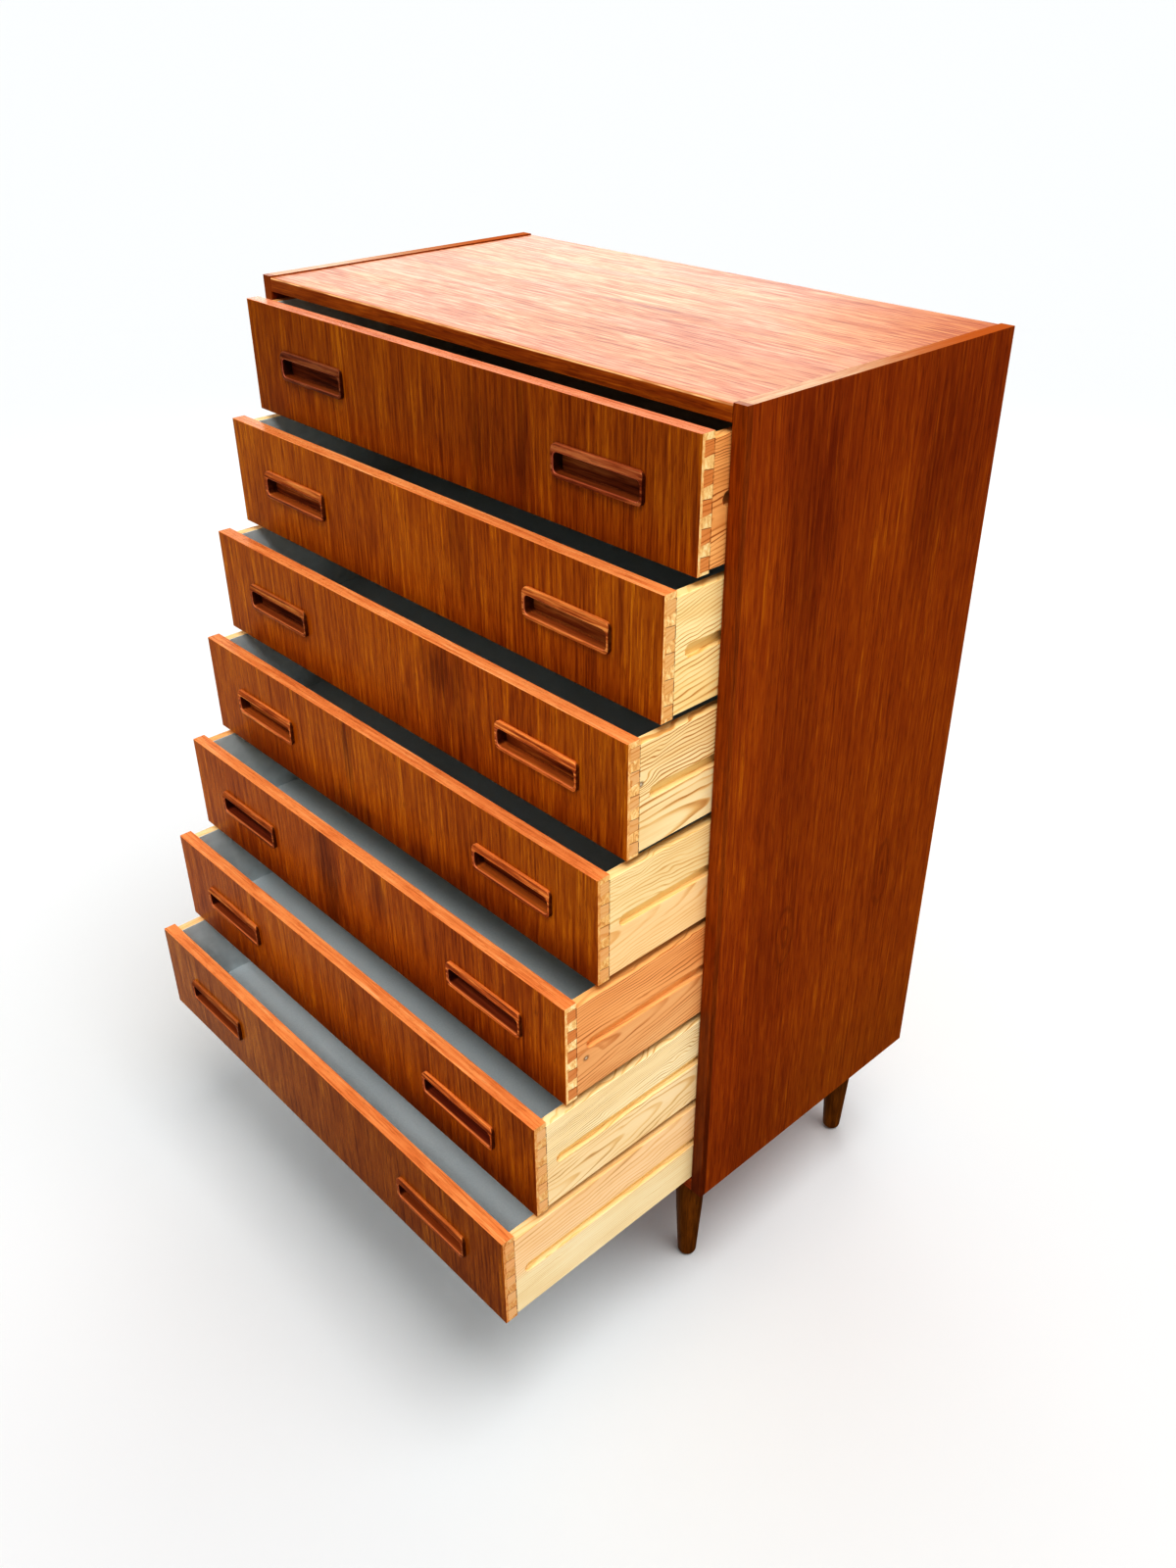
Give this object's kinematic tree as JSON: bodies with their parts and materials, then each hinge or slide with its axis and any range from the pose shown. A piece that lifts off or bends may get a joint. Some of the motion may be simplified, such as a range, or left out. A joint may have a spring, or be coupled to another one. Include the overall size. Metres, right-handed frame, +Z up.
{
  "type": "tallboy",
  "caption": "Tall veneered chest of drawers on four turned tapered legs, with dovetailed side-hung drawers and recessed pulls.",
  "frame": {"origin": "floor level, midway across the width and midway between the furthest drawer's pulls and the carcase's back, with the drawers as they stand in the picture", "axes": "+X to the object's left-to-right as seen from the front, +Y from the front to the back, +Z up"},
  "size_m": [0.8, 0.7426, 1.1832],
  "materials": {
    "front_veneer": "oiled teak veneer with upright grain",
    "side_veneer": "oiled teak veneer, dark reddish brown",
    "top_veneer": "oiled teak veneer with a soft sheen",
    "dark_lipping": "oiled solid teak edge",
    "pull_teak": "oiled solid teak",
    "pine": "bare planed pine",
    "grey_board": "board painted grey",
    "back_ply": "stained plywood",
    "dark_leg": "dark stained beech, satin",
    "beech": "bare beech",
    "zinc_steel": "zinc plated"
  },
  "bodies": {
    "carcase": {"side_right": "side_veneer", "side_left": "side_veneer", "side_lipping_right": "dark_lipping", "side_lipping_left": "dark_lipping", "top_panel": "top_veneer", "top_lipping": "dark_lipping", "bottom_panel": "side_veneer", "bottom_lipping": "dark_lipping", "back_panel": "back_ply", "carcase_dowels": "beech", "leg_front_left": "dark_leg", "leg_front_right": "dark_leg", "leg_rear_left": "dark_leg", "leg_rear_right": "dark_leg", "leg_bolts": "zinc_steel", "runners_right": "beech", "runners_left": "beech", "runner_screws": "zinc_steel"},
    "drawer_1": {"drawer_1_front": "front_veneer", "drawer_1_side_right": "pine", "drawer_1_side_left": "pine", "drawer_1_back": "pine", "drawer_1_bottom": "grey_board", "drawer_1_pulls": "pull_teak"},
    "drawer_2": {"drawer_2_front": "front_veneer", "drawer_2_side_right": "pine", "drawer_2_side_left": "pine", "drawer_2_back": "pine", "drawer_2_bottom": "grey_board", "drawer_2_pulls": "pull_teak"},
    "drawer_3": {"drawer_3_front": "front_veneer", "drawer_3_side_right": "pine", "drawer_3_side_left": "pine", "drawer_3_back": "pine", "drawer_3_bottom": "grey_board", "drawer_3_pulls": "pull_teak"},
    "drawer_4": {"drawer_4_front": "front_veneer", "drawer_4_side_right": "pine", "drawer_4_side_left": "pine", "drawer_4_back": "pine", "drawer_4_bottom": "grey_board", "drawer_4_pulls": "pull_teak"},
    "drawer_5": {"drawer_5_front": "front_veneer", "drawer_5_side_right": "pine", "drawer_5_side_left": "pine", "drawer_5_back": "pine", "drawer_5_bottom": "grey_board", "drawer_5_pulls": "pull_teak"},
    "drawer_6": {"drawer_6_front": "front_veneer", "drawer_6_side_right": "pine", "drawer_6_side_left": "pine", "drawer_6_back": "pine", "drawer_6_bottom": "grey_board", "drawer_6_pulls": "pull_teak"},
    "drawer_7": {"drawer_7_front": "front_veneer", "drawer_7_side_right": "pine", "drawer_7_side_left": "pine", "drawer_7_back": "pine", "drawer_7_bottom": "grey_board", "drawer_7_pulls": "pull_teak"}
  },
  "joints": [
    {"name": "drawer_1_slide", "type": "slide", "parent": "carcase", "child": "drawer_1", "axis": [0, -1, 0], "range_m": [-0.037, 0.293]},
    {"name": "drawer_2_slide", "type": "slide", "parent": "carcase", "child": "drawer_2", "axis": [0, -1, 0], "range_m": [-0.08, 0.25]},
    {"name": "drawer_3_slide", "type": "slide", "parent": "carcase", "child": "drawer_3", "axis": [0, -1, 0], "range_m": [-0.124, 0.206]},
    {"name": "drawer_4_slide", "type": "slide", "parent": "carcase", "child": "drawer_4", "axis": [0, -1, 0], "range_m": [-0.164, 0.166]},
    {"name": "drawer_5_slide", "type": "slide", "parent": "carcase", "child": "drawer_5", "axis": [0, -1, 0], "range_m": [-0.211, 0.119]},
    {"name": "drawer_6_slide", "type": "slide", "parent": "carcase", "child": "drawer_6", "axis": [0, -1, 0], "range_m": [-0.257, 0.073]},
    {"name": "drawer_7_slide", "type": "slide", "parent": "carcase", "child": "drawer_7", "axis": [0, -1, 0], "range_m": [-0.308, 0.022]}
  ]
}
